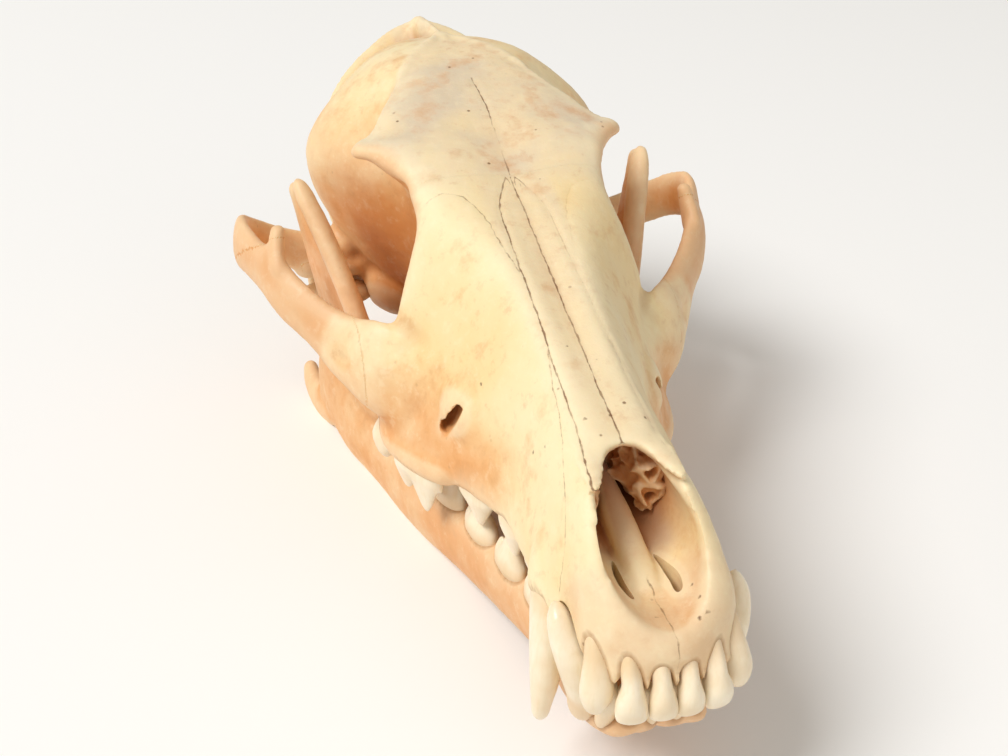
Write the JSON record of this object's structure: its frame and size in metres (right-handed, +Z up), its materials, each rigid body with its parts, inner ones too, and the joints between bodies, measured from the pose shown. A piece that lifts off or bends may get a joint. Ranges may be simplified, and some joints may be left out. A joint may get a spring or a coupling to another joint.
{
  "type": "coyote skull",
  "caption": "Life-size dry coyote skull with its lower jaw shut and its teeth in place, resting on the jaw; a still study or display piece.",
  "frame": {"origin": "on the table under the middle of the skull's bounding box", "axes": "+Y from the snout to the back of the head, +X to the skull's left side, +Z up"},
  "size_m": [0.1094, 0.1998, 0.086],
  "materials": {
    "bone": "dry bone, matt ivory to warm brown; the teeth are glossier off-white enamel"
  },
  "bodies": {
    "root": {"cranium_braincase": "bone", "cranium_face": "bone", "jugal_left": "bone", "jugal_right": "bone", "mandible_left": "bone", "mandible_right": "bone"}
  },
  "joints": []
}
